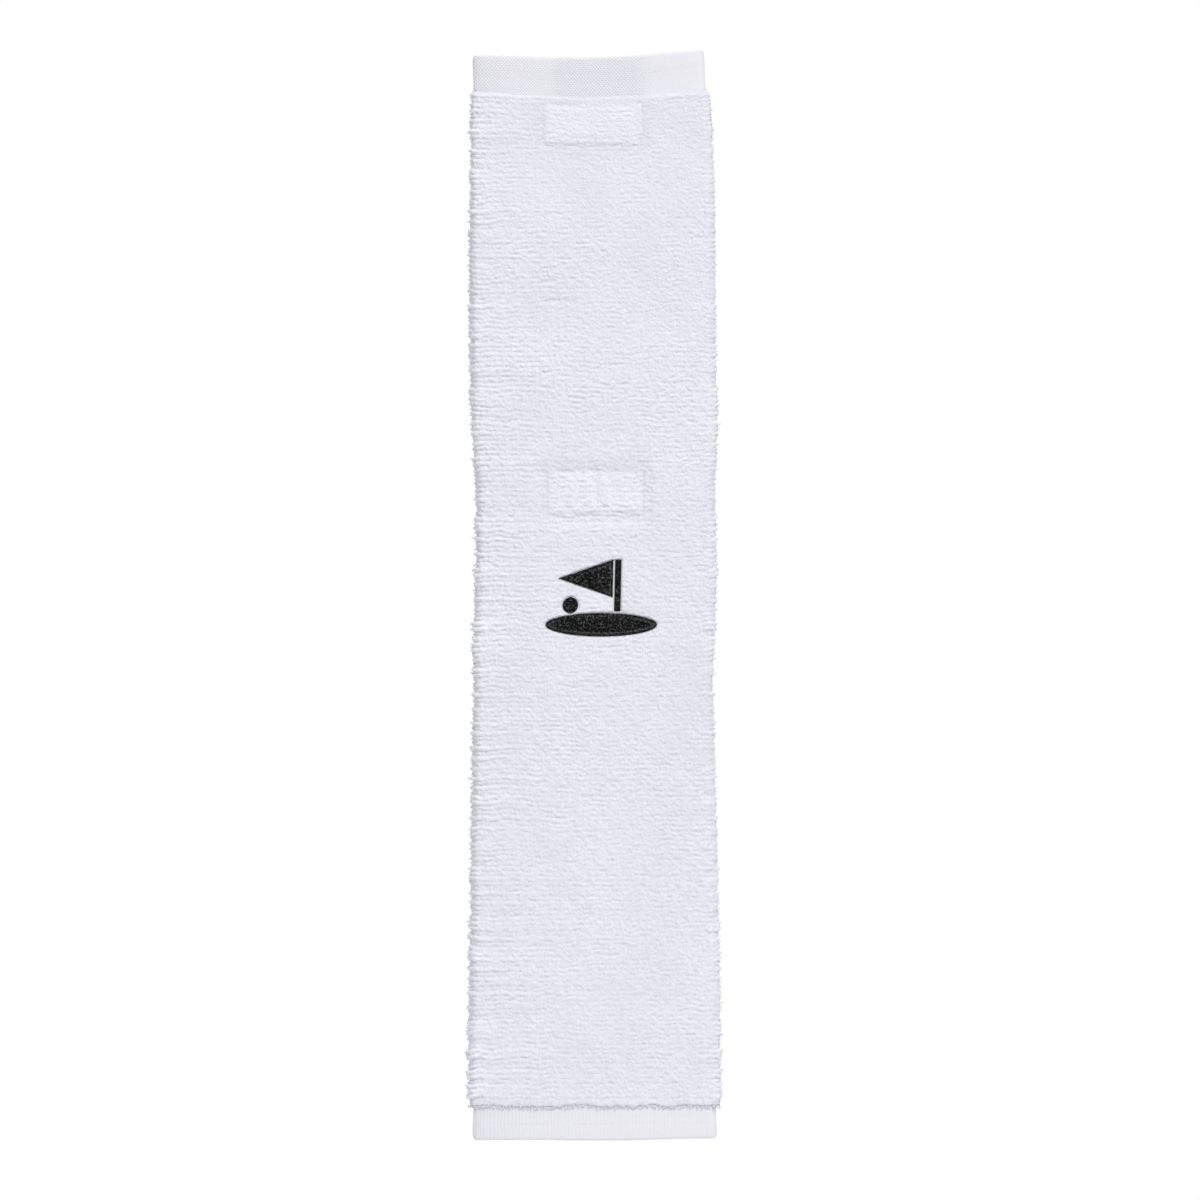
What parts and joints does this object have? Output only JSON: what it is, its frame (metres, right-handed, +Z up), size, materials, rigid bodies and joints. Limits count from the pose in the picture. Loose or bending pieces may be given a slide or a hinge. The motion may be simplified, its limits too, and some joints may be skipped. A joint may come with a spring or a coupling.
{
  "type": "golf towel",
  "caption": "Long cotton terry towel folded in three lengthwise, with flat woven end hems, a black embroidered flag, and hook and loop patches that hold its top over a bag ring.",
  "frame": {"origin": "on the axis about which the top folds back, at the middle of the towel's width, where the bag's ring sits; 1.15 mm behind the back of the cloth", "axes": "+Z up along the towel to its top hem, -Y out of the embroidered front, +X to the right as seen from the front"},
  "size_m": [0.1394, 0.0118, 0.61],
  "materials": {
    "terry": "white looped cotton pile",
    "flat_weave": "white ribbed plain weave",
    "tape": "white woven nylon with hooks or loops",
    "white_thread": "white sewing thread",
    "black_thread": "black embroidery thread with a soft sheen",
    "stabiliser": "matt non-woven",
    "label": "plain white satin ribbon"
  },
  "bodies": {
    "main_section": {"main_terry_cloth": "terry", "bottom_hem": "flat_weave", "bottom_hem_thread": "white_thread", "main_outer_side_hem": "terry", "main_outer_side_thread": "white_thread", "main_inner_side_hem": "terry", "loop_patch": "tape", "loop_needle_thread": "white_thread", "loop_bobbin_thread": "white_thread", "emblem_green": "black_thread", "emblem_pole": "black_thread", "emblem_flag": "black_thread", "emblem_ball": "black_thread", "embroidery_backing": "stabiliser", "care_label": "label"},
    "upper_section": {"upper_terry_cloth": "terry", "top_hem": "flat_weave", "top_hem_thread": "white_thread", "upper_outer_side_hem": "terry", "upper_outer_side_thread": "white_thread", "upper_inner_side_hem": "terry", "hook_patch": "tape", "hook_needle_thread": "white_thread", "hook_bobbin_thread": "white_thread"}
  },
  "joints": [
    {"name": "fold_over", "type": "hinge", "parent": "main_section", "child": "upper_section", "pos_m": [0, 0, 0], "axis": [-1, 0, 0], "range_deg": [0, 179.9]}
  ]
}
